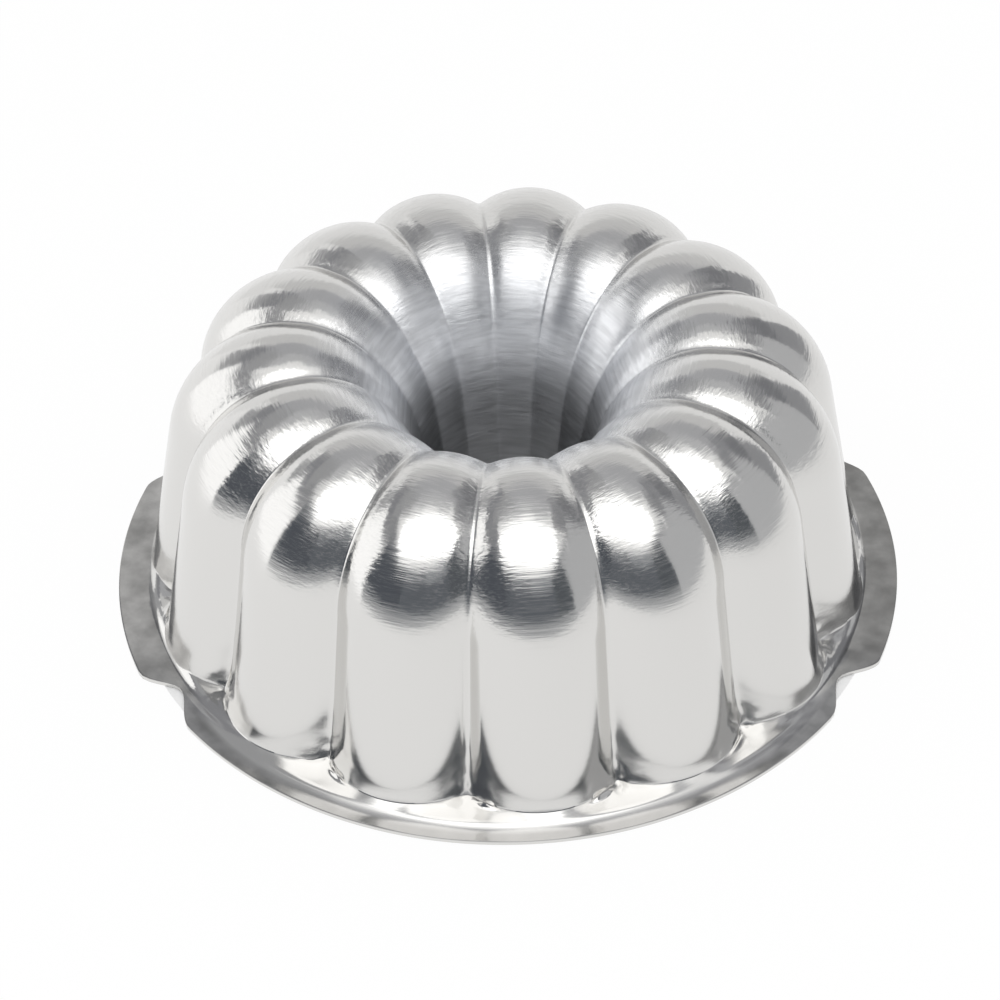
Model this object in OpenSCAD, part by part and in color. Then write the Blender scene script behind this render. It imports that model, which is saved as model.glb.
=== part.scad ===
// Brioche mould: a fluted ring mould with an open centre tube, pressed from one aluminium disc.
// It stands upside down on its rim, as it is stored and as it is turned out.
// The origin is the centre of the rim's underside, +Z is up and the two ears lie along X.
// The sheet is divided at its own bends into the regions that a maker would name.

/* [Overall size] */
// Diameter across the round rim
rim_d = 250; // [246:1:256]
// Width across the two ears
ear_span = 252.6; // [251:0.2:262]
// Height from the underside of the rim to the tops of the lobes
height = 90; // [86:1:96]
// Thickness of the sheet
sheet_t = 1.5; // [1:0.1:2]

/* [Lobes] */
// Number of lobes round the ring
lobe_count = 15; // [12:1:16]
// Turn of the first lobe from the front, towards +X, in degrees
lobe_turn = 5; // [0:1:24]
// Depth of the grooves at the foot of the wall
foot_groove = 11; // [8:0.5:12]
// Depth of the grooves where the wall runs into the shoulder
shoulder_groove = 9; // [7:0.5:10]
// Depth of the grooves on the crest
crest_groove = 4.7; // [3:0.1:6]
// Depth of the grooves where the throat runs into the tube
throat_groove = 0.8; // [0.2:0.1:1.5]
// Roundness of a lobe across its width, from 0, a parabola, to 1, a half circle
lobe_roundness = 0.68; // [0.3:0.02:0.9]

/* [Section through the ring] */
// Diameter of the circle that the tops of the lobes lie on
crest_d = 132; // [128:1:136]
// Half width of the shoulder, outside the crest
shoulder_w = 40; // [37:0.5:41]
// Height of the shoulder's quarter ellipse
shoulder_h = 40.5; // [36:0.5:44]
// Half width of the throat, inside the crest
throat_w = 40; // [36:0.5:42]
// Height of the throat's quarter ellipse
throat_h = 56; // [50:1:60]
// Lean of the outer wall from upright, in degrees
wall_draft = 10.8; // [8:0.2:12]
// Taper of the centre tube from upright, in degrees
tube_draft = 8.4; // [6:0.2:10]
// Height of the tube's open end above the surface that the rim stands on
tube_end_z = 2; // [0.5:0.5:6]

/* [Foot and rim] */
// Width of the flat ring at the edge of the rim
rim_flat = 4; // [3:0.5:5]
// Slope of the rim between its flat ring and the wall, in degrees
rim_slope = 21; // [16:1:25]
// Reach of the bend at a lobe's foot, up the wall
foot_bend_up = 4; // [3:0.1:5]
// Reach of the bend at a lobe's foot, out along the slope
foot_bend_out = 0.7; // [0.5:0.1:2]
// Share of its reach up the wall along which the bend keeps to the wall's line
foot_hold = 0.4; // [0:0.1:0.8]
// Height at which the bend starts in a groove
groove_bend_h = 20; // [14:0.5:24]
// Radius at which a groove's foot meets the rim
groove_foot_r = 106.5; // [104:0.5:110]
// Height at which a groove's foot meets the rim
groove_foot_z = 2.3; // [2:0.1:5]

/* [Ears] */
// Angle of the notch in front of each ear, measured from the X axis
front_notch = 30.6; // [28:0.2:34]
// Angle of the notch behind each ear, measured from the X axis
rear_notch = 22; // [20:0.2:34]
// Radius at the bottom of a notch
notch_r = 118.8; // [118.8:0.1:120]
// Angle that a notch takes up on the rim's side, in degrees
notch_rim_side = 7.4; // [5:0.2:9]
// Angle that a notch takes up on the ear's side, in degrees
notch_ear_side = 6.2; // [5:0.2:8]

/* [Smoothness] */
// Steps across one lobe
lobe_steps = 8; // [4:2:8]
// Steps along the shoulder, and along the throat
arc_steps = 7; // [4:1:7]

/* [Hidden] */

rim_r = rim_d / 2;
ear_r = ear_span / 2;
crest_r = crest_d / 2;
flat_r = rim_r - rim_flat;

// The rim's rings start here, just outside the feet of the lobes
joint_r = 118.4;

// The foot's groove depth is taken at this height on the lobe's own line
groove_z = 8.5;

// Steps up the wall and up the tube, round the bend at the foot, and along each side of a notch
wall_steps = 2;
tube_steps = 2;
bend_steps = 4;
notch_steps = 10;

// A notch starts this far outside the edges of its ear and of the rim
notch_run_out = 0.25;

// An ear drops from the joint to its own flat level over this width
ear_drop_w = 0.8;

// An ear and the rim beside it meet half a step past the bottom of the notch
past_notch = notch_rim_side / notch_steps / 2;
front_meet = front_notch + past_notch;
rear_meet = rear_notch + past_notch;

ring_steps = lobe_count * lobe_steps;
pitch = 360 / lobe_count;

sheet_light = [0.86, 0.86, 0.85];
sheet_mid = [0.74, 0.74, 0.75];
sheet_dark = [0.60, 0.60, 0.62];

function unit(v) = v / norm(v);
function ramp(u) = (1 - cos(180 * u)) / 2;
function mix(a, b, u) = a + (b - a) * u;
function polar(r, angle) = [r * cos(angle), r * sin(angle)];

// Where the line from p along d crosses the line from q along e, all in the section
function crossing(p, d, q, e) =
    p + d * ((q - p).x * e.y - (q - p).y * e.x) / (d.x * e.y - d.y * e.x);

// Across a lobe, the groove's share is 0 on the middle line and 1 in the grooves on both sides
function groove_share(step) =
    let (side = 2 * step / lobe_steps - 1,
         full = 1 - sqrt(1 - pow(lobe_roundness, 2)))
    (1 - sqrt(1 - pow(lobe_roundness * side, 2))) / full;

// A point of the section lies its share of the groove's depth under the middle line of the lobe
function sunk(point, normal, depth) = point - normal * depth;

// Shoulder: a quarter ellipse cut off where it reaches the wall's lean
shoulder_start = atan(shoulder_h / shoulder_w * tan(wall_draft));
function shoulder_point(t) =
    [crest_r + shoulder_w * cos(t), height - shoulder_h + shoulder_h * sin(t)];
function shoulder_normal(t) = unit([cos(t) / shoulder_w, sin(t) / shoulder_h]);
function shoulder_depth(u) = mix(crest_groove, shoulder_groove, pow(1 - u, 1.7));
function shoulder_line(u, share) =
    let (t = mix(shoulder_start, 90, u))
    sunk(shoulder_point(t), shoulder_normal(t), shoulder_depth(u) * share);

// Throat: the quarter ellipse on the other side of the crest, down to the tube's taper
throat_end = atan(throat_h / throat_w * tan(tube_draft));
function throat_point(t) =
    [crest_r - throat_w * cos(t), height - throat_h + throat_h * sin(t)];
function throat_normal(t) = unit([-cos(t) / throat_w, sin(t) / throat_h]);
function throat_depth(u) = mix(throat_groove, crest_groove, pow(1 - u, 1.6));
function throat_line(u, share) =
    let (t = mix(90, throat_end, u))
    sunk(throat_point(t), throat_normal(t), throat_depth(u) * share);

// Tube: straight from the throat down to the open end, its grooves fading to nothing
tube_top = throat_line(1, 0);
tube_end = [tube_top.x - (tube_top.y - tube_end_z) * tan(tube_draft), tube_end_z];
function tube_line(u, share) = mix(throat_line(1, share), tube_end, u);

// The wall would run straight down from the shoulder to this corner with the sloping rim
wall_normal = [cos(wall_draft), sin(wall_draft)];
wall_low_r = shoulder_point(shoulder_start).x
    + (shoulder_point(shoulder_start).y - groove_z) * tan(wall_draft);
slope_start = [flat_r, sheet_t];
slope_down = [cos(rim_slope), -sin(rim_slope)];
function corner(share) =
    let (top = shoulder_line(0, share),
         low = sunk([wall_low_r, groove_z], wall_normal, foot_groove * share))
    crossing(top, low - top, slope_start, slope_down);
function wall_rise(share) = unit(shoulder_line(0, share) - corner(share));

// Instead it bends out to the rim, shortly at the middle of a lobe and slowly in a groove,
// which runs down deeper
groove_up = (groove_bend_h - corner(1).y) / wall_rise(1).y;
groove_foot_step =
    [groove_foot_r, groove_foot_z] - corner(1) - slope_down * foot_bend_out;
function wall_foot(share) =
    corner(share) + wall_rise(share) * mix(foot_bend_up, groove_up, share);
function rim_foot(share) =
    corner(share) + slope_down * foot_bend_out + groove_foot_step * share;
function held_foot(share) = mix(corner(share), wall_foot(share), foot_hold);
function bend_line(u, share) =
    rim_foot(share) * pow(1 - u, 2)
    + held_foot(share) * 2 * u * (1 - u)
    + wall_foot(share) * pow(u, 2);
function wall_line(u, share) = mix(wall_foot(share), shoulder_line(0, share), u);

joint = slope_start - slope_down * (flat_r - joint_r) / slope_down.x;

// The whole section from the rim's joint, over the crest, to the end of the tube
function section(share) = concat(
    [joint],
    [for (i = [0:bend_steps]) bend_line(i / bend_steps, share)],
    [for (i = [1:wall_steps]) wall_line(i / wall_steps, share)],
    [for (i = [1:arc_steps]) shoulder_line(i / arc_steps, share)],
    [for (i = [1:arc_steps]) throat_line(i / arc_steps, share)],
    [for (i = [1:tube_steps]) tube_line(i / tube_steps, share)]);
sections = [for (step = [0:lobe_steps - 1]) section(groove_share(step))];

wall_from = 1 + bend_steps;
shoulder_from = wall_from + wall_steps;
crest_at = shoulder_from + arc_steps;
tube_from = crest_at + arc_steps;
tube_to = tube_from + tube_steps;

function ring_angle(step) = lobe_turn - 90 + pitch * (step / lobe_steps - 0.5);

// A point of the sheet's outer skin
function skin(step, row) =
    let (p = sections[step % lobe_steps][row],
         a = ring_angle(step))
    [p.x * cos(a), p.x * sin(a), p.y];

// The inner skin lies one sheet thickness behind it, square to the surface
function outward(step, row) =
    let (round_ring = skin(step + 1, row) - skin(step + ring_steps - 1, row),
         up = skin(step, min(row + 1, tube_to)) - skin(step, max(row - 1, 0)))
    unit(cross(round_ring, up));
function back(step, row) = skin(step, row) - outward(step, row) * sheet_t;

// One region of the fluted sheet, between two rows of the section
module sheet_band(from_row, to_row) {
    rows = to_row - from_row + 1;
    around = 2 * rows;
    points = [for (s = [0:ring_steps - 1]) each concat(
        [for (r = [from_row:to_row]) skin(s, r)],
        [for (r = [to_row:-1:from_row]) back(s, r)])];
    faces = [for (s = [0:ring_steps - 1], k = [0:around - 1])
        let (next_s = (s + 1) % ring_steps,
             next_k = (k + 1) % around,
             a = s * around + k,
             b = s * around + next_k,
             c = next_s * around + next_k,
             d = next_s * around + k)
        each [[a, b, c], [a, c, d]]];
    polyhedron(points, faces);
}

// Underside of the joint, one sheet thickness behind it
joint_back = joint - [sin(rim_slope), cos(rim_slope)] * sheet_t;

// Section of the rim: its slope and its flat ring, one sheet thick
module rim_section() {
    under_r = flat_r - sheet_t * tan(rim_slope / 2);
    polygon([joint, slope_start, [rim_r, sheet_t], [rim_r, 0], [under_r, 0], joint_back]);
}

// Section of an ear: a short drop from the joint, then flat to its edge
module ear_section() {
    ear_from = joint_r + ear_drop_w;
    ear_drop = atan((joint.y - sheet_t) / ear_drop_w);
    under_r = ear_from - sheet_t * tan(ear_drop / 2);
    polygon([joint, [ear_from, sheet_t], [ear_r, sheet_t], [ear_r, 0], [under_r, 0],
             joint_back]);
}

// A section carried round between two angles measured from the X axis, less the notches
module rim_arc(from_angle, to_angle) {
    difference() {
        rotate([0, 0, from_angle])
            rotate_extrude(angle = to_angle - from_angle, $fn = 180)
                children();
        notches();
    }
}

// One notch: its edge dips smoothly from the ear and from the rim to the notch's bottom.
// It starts a hair outside their edges, so that it crosses them cleanly.
function notch_edge(u, bottom_angle) =
    let (edge_r = (u < 0 ? ear_r : rim_r) + notch_run_out,
         angle = u < 0 ? notch_ear_side * u : notch_rim_side * u)
    polar(mix(notch_r, edge_r, ramp(abs(u))), bottom_angle + angle);
module notch(bottom_angle) {
    clear_r = ear_r + 6;
    translate([0, 0, -1])
        linear_extrude(height = sheet_t + 6)
            polygon(concat(
                [for (i = [-notch_steps:notch_steps]) notch_edge(i / notch_steps, bottom_angle)],
                [polar(clear_r, bottom_angle + notch_rim_side),
                 polar(clear_r, bottom_angle - notch_ear_side)]));
}
module notches() {
    for (left = [0, 1]) mirror([left, 0, 0]) {
        mirror([0, 1, 0]) notch(front_notch);
        notch(rear_notch);
    }
}

module front_rim() {
    color(sheet_mid) rim_arc(front_meet - 180, -front_meet) rim_section();
}

module rear_rim() {
    color(sheet_mid) rim_arc(rear_meet, 180 - rear_meet) rim_section();
}

module right_ear() {
    color(sheet_dark) rim_arc(-front_meet, rear_meet) ear_section();
}

module left_ear() {
    color(sheet_dark) rim_arc(180 - rear_meet, 180 + front_meet) ear_section();
}

module foot_bend_ring() {
    color(sheet_mid) sheet_band(0, wall_from);
}

module outer_wall() {
    color(sheet_light) sheet_band(wall_from, shoulder_from);
}

module shoulder() {
    color(sheet_light) sheet_band(shoulder_from, crest_at);
}

module throat() {
    color(sheet_mid) sheet_band(crest_at, tube_from);
}

module centre_tube() {
    color(sheet_dark) sheet_band(tube_from, tube_to);
}

front_rim();
rear_rim();
left_ear();
right_ear();
foot_bend_ring();
outer_wall();
shoulder();
throat();
centre_tube();
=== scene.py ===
"""A fluted ring mould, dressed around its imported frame.

The mould is one pressed aluminium sheet. Its section is drawn row by row, from the rim's edge over
the crest to the end of the centre tube, and a node tree carries the rows round the ring and sinks
a groove between every two lobes. It stands upside down on its rim, on a pale studio floor.
"""

import math

import bpy
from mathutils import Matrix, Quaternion, Vector


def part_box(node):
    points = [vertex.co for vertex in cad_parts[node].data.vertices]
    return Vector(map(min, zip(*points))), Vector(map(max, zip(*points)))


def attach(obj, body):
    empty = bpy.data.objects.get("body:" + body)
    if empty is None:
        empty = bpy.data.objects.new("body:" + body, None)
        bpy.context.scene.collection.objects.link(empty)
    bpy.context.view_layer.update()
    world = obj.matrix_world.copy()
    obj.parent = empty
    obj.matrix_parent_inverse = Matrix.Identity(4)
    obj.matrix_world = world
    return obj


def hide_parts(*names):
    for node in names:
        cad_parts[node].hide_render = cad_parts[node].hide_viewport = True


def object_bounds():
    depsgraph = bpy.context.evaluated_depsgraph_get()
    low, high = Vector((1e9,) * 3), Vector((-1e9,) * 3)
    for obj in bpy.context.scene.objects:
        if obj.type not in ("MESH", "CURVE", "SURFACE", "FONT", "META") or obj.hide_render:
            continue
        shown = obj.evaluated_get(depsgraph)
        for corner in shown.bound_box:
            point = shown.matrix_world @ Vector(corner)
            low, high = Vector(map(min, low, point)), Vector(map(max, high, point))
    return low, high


bl_info = {
    "name": "Fluted Ring Mould",
    "version": (1, 0, 0),
    "blender": (4, 5, 0),
    "location": "View3D > Sidebar > Mould",
    "description": "Builds a pressed aluminium ring mould and its studio around a packed frame",
    "category": "Object",
}

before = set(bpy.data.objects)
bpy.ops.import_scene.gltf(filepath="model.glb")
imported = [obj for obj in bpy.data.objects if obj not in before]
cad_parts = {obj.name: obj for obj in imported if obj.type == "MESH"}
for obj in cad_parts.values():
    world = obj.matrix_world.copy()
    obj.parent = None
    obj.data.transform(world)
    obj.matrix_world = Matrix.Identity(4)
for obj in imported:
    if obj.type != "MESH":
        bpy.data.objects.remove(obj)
CAD_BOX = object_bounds()

# Sizes read from the frame, in metres
RIM_R = -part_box("front_rim")[0].y
EAR_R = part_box("right_ear")[1].x
CREST_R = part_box("throat")[1].x
HEIGHT = CAD_BOX[1].z
TUBE_END_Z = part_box("centre_tube")[0].z

SHEET_NODES = (
    "front_rim",
    "rear_rim",
    "left_ear",
    "right_ear",
    "foot_bend_ring",
    "outer_wall",
    "shoulder",
    "throat",
    "centre_tube",
)


def length(name, text, mm):
    """A length property whose default is given in millimetres."""
    return bpy.props.FloatProperty(
        name=name, description=text, default=mm / 1000, unit="LENGTH", precision=5
    )


def angle(name, text, degrees):
    """An angle property whose default is given in degrees."""
    return bpy.props.FloatProperty(
        name=name, description=text, default=math.radians(degrees), subtype="ANGLE"
    )


def colour(name, text, hex_value):
    """A colour property whose default is an sRGB hex value."""
    return bpy.props.FloatVectorProperty(
        name=name,
        description=text,
        default=linear(hex_value),
        size=4,
        subtype="COLOR",
        min=0,
        max=1,
    )


def number(name, text, value):
    """A plain number property."""
    return bpy.props.FloatProperty(name=name, description=text, default=value)


def linear(hex_value):
    """An sRGB hex value such as "d9d8d5" as linear red, green, blue and alpha."""
    parts = [int(hex_value[i : i + 2], 16) / 255 for i in (0, 2, 4)]
    return (
        *(p / 12.92 if p <= 0.04045 else ((p + 0.055) / 1.055) ** 2.4 for p in parts),
        1.0,
    )


class SheetSizes(bpy.types.PropertyGroup):
    """Sizes of the pressed sheet"""

    thickness: length("Thickness", "Thickness of the sheet", 1.5)
    lobes: bpy.props.IntProperty(name="Lobes", description="Lobes round the ring", default=15)
    lobe_turn: angle("Turn", "Turn of the first lobe from the front", 5)
    roundness: number("Roundness", "Roundness of a lobe across its width", 0.68)
    foot_groove: length("Foot Groove", "Groove depth low on the wall", 11)
    shoulder_groove: length("Shoulder Groove", "Groove depth at the shoulder's foot", 9)
    crest_groove: length("Crest Groove", "Groove depth on the crest", 4.7)
    throat_groove: length("Throat Groove", "Groove depth where the tube starts", 0.8)
    groove_z: length("Groove Height", "Height at which the foot groove depth is taken", 8.5)
    shoulder_w: length("Shoulder Width", "Half width of the shoulder", 40)
    shoulder_h: length("Shoulder Height", "Height of the shoulder's quarter ellipse", 40.5)
    throat_w: length("Throat Width", "Half width of the throat", 40)
    throat_h: length("Throat Height", "Height of the throat's quarter ellipse", 56)
    wall_draft: angle("Wall Lean", "Lean of the outer wall from upright", 10.8)
    tube_draft: angle("Tube Taper", "Taper of the centre tube", 8.4)
    rim_flat: length("Rim Flat", "Width of the flat ring at the rim's edge", 4)
    rim_slope: angle("Rim Slope", "Slope of the rim inside its flat ring", 21)
    joint_r: length("Rim Joint", "Radius just outside the lobes' feet", 118.4)
    bend_up: length("Bend Up", "Reach of a lobe's foot bend up the wall", 4)
    bend_out: length("Bend Out", "Reach of a lobe's foot bend along the slope", 0.7)
    hold: number("Bend Hold", "How far up its reach a foot bend keeps to the wall", 0.4)
    groove_bend_h: length("Groove Bend", "Height at which the bend starts in a groove", 20)
    groove_foot_r: length("Groove Foot Radius", "Radius at which a groove meets the rim", 106.5)
    groove_foot_z: length("Groove Foot Height", "Height at which a groove meets the rim", 2.3)
    front_notch: angle("Front Notch", "Angle of a front notch from the axis of the ears", 30.6)
    rear_notch: angle("Rear Notch", "Angle of a rear notch from the axis of the ears", 22)
    notch_r: length("Notch Radius", "Radius at the bottom of a notch", 118.8)
    notch_rim_side: angle("Notch Rim Side", "Angle a notch takes from the rim", 7.4)
    notch_ear_side: angle("Notch Ear Side", "Angle a notch takes from the ear", 6.2)
    ear_inset: length("Ear Inset", "How far an ear's edge stays inside its widest reach", 0.15)
    ear_shift: length("Ear Shift", "How far the ears' outline lies towards the front", 3)
    ear_flat_r: length("Ear Flat", "Radius at which an ear's flat starts", 116.6)
    ear_spread: angle("Ear Spread", "Angle past a notch at which the rim's slope is full", 20)
    crease: length("Crease", "Rounding of the crease between slope and flat", 0.8)
    edge_round: length("Edge Rounding", "Rounding of the sheet's cut edges", 0.4)
    pucker: length("Pucker", "Height of the puckers at the feet of the grooves", 3.5)
    fold: length("Fold", "Height of the fold that runs out beside a groove's foot", 1.1)


class Finish(bpy.types.PropertyGroup):
    """Finish of the pressed sheet, with painted light in its throat and painted shade in its tube
    """

    metal: colour("Metal", "Colour of the bare aluminium", "dedddb")
    throat_metal: colour("Throat Metal", "Its slightly cooler colour in the throat", "dcdddf")
    roughness: number("Roughness", "Roughness of the turned surface", 0.12)
    throat_roughness: number("Throat Roughness", "Roughness deep in the throat", 0.3)
    line_roughness: number("Line Roughness", "Extra roughness of the roughest lines", 0.12)
    dull: number("Dull Ears", "Share of its brightness that an ear keeps", 0.62)
    # Painted light: how much brighter the throat's colour is made
    throat_painted_light: number("Throat Tone", "Brightness of the throat against the crest", 1.15)
    # Painted shade: how much darker the centre tube's colour is made
    tube_painted_shade: number("Tube Tone", "Brightness of the centre tube against the throat", 0.55)
    line_gap: length("Line Gap", "Spacing of the turning lines", 0.45)
    line_depth: length("Line Depth", "Depth of the turning lines", 0.05)
    dents: length("Unevenness", "Height of the sheet's slight unevenness", 0.03)


class Studio(bpy.types.PropertyGroup):
    """Light and background of the studio"""

    floor: colour("Floor", "Colour of the floor", "f2f2f2")
    floor_lift: number(
        "Floor Lift", "Share of the floor's white that does not depend on light", 0.95
    )
    floor_mirrored: number(
        "Mirrored Floor", "Brightness of the floor's own white in the metal", 0.98
    )
    softbox: number("Softbox", "Brightness of the softbox over the mould", 1.85)
    fill: number("Fill", "Strength of the white surroundings", 1.0)


def add(tree, kind, inputs=None, **settings):
    """Adds a node with its settings.

    An input is given a plain value, a socket, or a node, whose first output is used.
    """
    new = tree.nodes.new(kind)
    for name, value in settings.items():
        setattr(new, name, value)
    for key, value in (inputs or {}).items():
        if isinstance(value, bpy.types.Node):
            value = next(s for s in value.outputs if s.enabled)
        if isinstance(value, bpy.types.NodeSocket):
            tree.links.new(value, new.inputs[key])
        else:
            new.inputs[key].default_value = value
    return new


def between(start, end, low=0.0, high=1.0):
    """The inputs of a map range node that fades from low at the start to high at the end."""
    return {1: start, 2: end, 3: low, 4: high}


def mix(a, b, share):
    """What lies between a and b, at this share of the way."""
    return a + (b - a) * share


def crossing(p, d, q, e):
    """Where the line from p along d crosses the line from q along e, in the section's plane."""
    gap = q - p
    return p + d * ((gap.x * e.y - gap.y * e.x) / (d.x * e.y - d.y * e.x))


def section_rows(s):
    """The sheet's rows from the rim's edge to the tube's end.

    Each row is a point on a lobe's middle line, the step from there to the groove, how far out on
    the rim the row lies, the rounding of the groove's bottom, how far it is puckered there, and its
    share of the fold beside the groove's foot.
    """
    flat_r = RIM_R - s.rim_flat
    slope_start = Vector((flat_r, s.thickness))
    slope_down = Vector((math.cos(s.rim_slope), -math.sin(s.rim_slope)))
    nothing = Vector((0, 0))

    def shoulder(u):
        start = math.atan(s.shoulder_h / s.shoulder_w * math.tan(s.wall_draft))
        t = mix(start, math.pi / 2, u)
        point = Vector(
            (
                CREST_R + s.shoulder_w * math.cos(t),
                HEIGHT - s.shoulder_h + s.shoulder_h * math.sin(t),
            )
        )
        normal = Vector((math.cos(t) / s.shoulder_w, math.sin(t) / s.shoulder_h)).normalized()
        return point, -normal * mix(s.crest_groove, s.shoulder_groove, (1 - u) ** SHOULDER_EASE)

    def throat(u):
        end = math.atan(s.throat_h / s.throat_w * math.tan(s.tube_draft))
        t = mix(math.pi / 2, end, u)
        point = Vector(
            (
                CREST_R - s.throat_w * math.cos(t),
                HEIGHT - s.throat_h + s.throat_h * math.sin(t),
            )
        )
        normal = Vector((-math.cos(t) / s.throat_w, math.sin(t) / s.throat_h)).normalized()
        return point, -normal * mix(s.throat_groove, s.crest_groove, (1 - u) ** THROAT_EASE)

    top, top_step = shoulder(0)
    low = Vector((top.x + (top.y - s.groove_z) * math.tan(s.wall_draft), s.groove_z))
    low_step = Vector((-math.cos(s.wall_draft), -math.sin(s.wall_draft))) * s.foot_groove
    corner = crossing(top, low - top, slope_start, slope_down)
    groove_top = top + top_step
    groove_corner = crossing(
        groove_top, low + low_step - groove_top, slope_start, slope_down
    )
    corner_step = groove_corner - corner
    rise = (top - corner).normalized() * s.bend_up
    groove_rise = (groove_top - groove_corner).normalized()
    groove_rise *= (s.groove_bend_h - groove_corner.y) / groove_rise.y
    joint = slope_start - slope_down * ((flat_r - s.joint_r) / slope_down.x)

    # The foot's bend runs from the wall to the rim, and keeps to the wall's line part of the way
    foot = corner + slope_down * s.bend_out
    foot_step = Vector((s.groove_foot_r, s.groove_foot_z)) - foot
    wall = corner + rise
    wall_step = corner_step + groove_rise - rise
    held = mix(corner, wall, s.hold)
    held_step = mix(corner_step, wall_step, s.hold)

    rows = []

    def put(point, groove=nothing, stretch=0.0, fillet=0.0, pucker=0.0, fold=0.0):
        rows.append((point, groove, stretch, fillet, pucker, fold))

    for stretch in RIM_ROWS:
        put(joint, stretch=stretch)
    slope_steps = 12
    for i in range(1, slope_steps):
        u = 1 - (1 - i / slope_steps) ** SLOPE_EASE
        fold = math.sin(math.pi * max(0, u - FOLD_START) / (1 - FOLD_START)) ** 2
        put(mix(joint, foot, u), foot_step * u, fillet=FOOT_FILLET, pucker=u**2, fold=fold)
    bend_steps = 12
    for i in range(bend_steps + 1):
        u = i / bend_steps
        shares = (1 - u) ** 2, 2 * u * (1 - u), u * u
        put(
            foot * shares[0] + held * shares[1] + wall * shares[2],
            foot_step * shares[0] + held_step * shares[1] + wall_step * shares[2],
            fillet=FOOT_FILLET,
            pucker=(1 - u) ** 3,
        )
    wall_steps = 10
    for i in range(1, wall_steps):
        u = i / wall_steps
        put(mix(wall, top, u), mix(wall_step, top_step, u), fillet=mix(FOOT_FILLET, WALL_FILLET, u))
    shoulder_steps = 20
    for i in range(shoulder_steps + 1):
        u = i / shoulder_steps
        put(*shoulder(u), fillet=mix(WALL_FILLET, CREST_FILLET, u))
    throat_steps = 21
    for i in range(1, throat_steps + 1):
        u = i / throat_steps
        put(*throat(u), fillet=mix(CREST_FILLET, THROAT_FILLET, u))
    tube_top, tube_step = throat(1)
    tube_end = Vector(
        (tube_top.x - (tube_top.y - TUBE_END_Z) * math.tan(s.tube_draft), TUBE_END_Z)
    )
    tube_steps = 3
    for i in range(1, tube_steps + 1):
        u = i / tube_steps
        put(mix(tube_top, tube_end, u), tube_step * (1 - u), fillet=THROAT_FILLET)
    return rows


# Half width of the rounding at the bottom of a groove, at four places along it
FOOT_FILLET = 0.0012
WALL_FILLET = 0.0009
CREST_FILLET = 0.0007
THROAT_FILLET = 0.0009

# By these powers a groove's depth changes fast at first, over the shoulder and down the throat
SHOULDER_EASE = 1.7
THROAT_EASE = 1.6

# How far out on the rim its rows lie, from the edge to the joint, and the power that draws the
# slope's rows closer towards the lobes' feet
RIM_ROWS = (1, 0.93, 0.82, 0.7, 0.6, 0.52, 0.46, 0.4, 0.34, 0.28, 0.2, 0.1, 0)
SLOPE_EASE = 1.7

# Steps round the ring for each lobe, drawn closer towards the grooves by this power
STEPS_PER_LOBE = 32
STEP_BIAS = 1.6


def section_mesh(s):
    """The rows as a line of points, with what the node tree needs to know kept beside each."""
    rows = section_rows(s)
    mesh = bpy.data.meshes.new("sheet_section")
    points = [(point.x, 0, point.y) for point, *_ in rows]
    mesh.from_pydata(points, [(i, i + 1) for i in range(len(rows) - 1)], [])
    kept = mesh.attributes.new("to_groove", "FLOAT_VECTOR", "POINT")
    for item, row in zip(kept.data, rows):
        item.vector = (row[1].x, 0, row[1].y)
    for name, column in (("stretch", 2), ("fillet", 3), ("pucker", 4), ("fold", 5)):
        kept = mesh.attributes.new(name, "FLOAT", "POINT")
        for item, row in zip(kept.data, rows):
            item.value = row[column]
    return mesh


MATH = "ShaderNodeMath"
VECTOR = "ShaderNodeVectorMath"
WHOLE = "FunctionNodeIntegerMath"
RANGE = "ShaderNodeMapRange"
NOISE = "ShaderNodeTexNoise"


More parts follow.
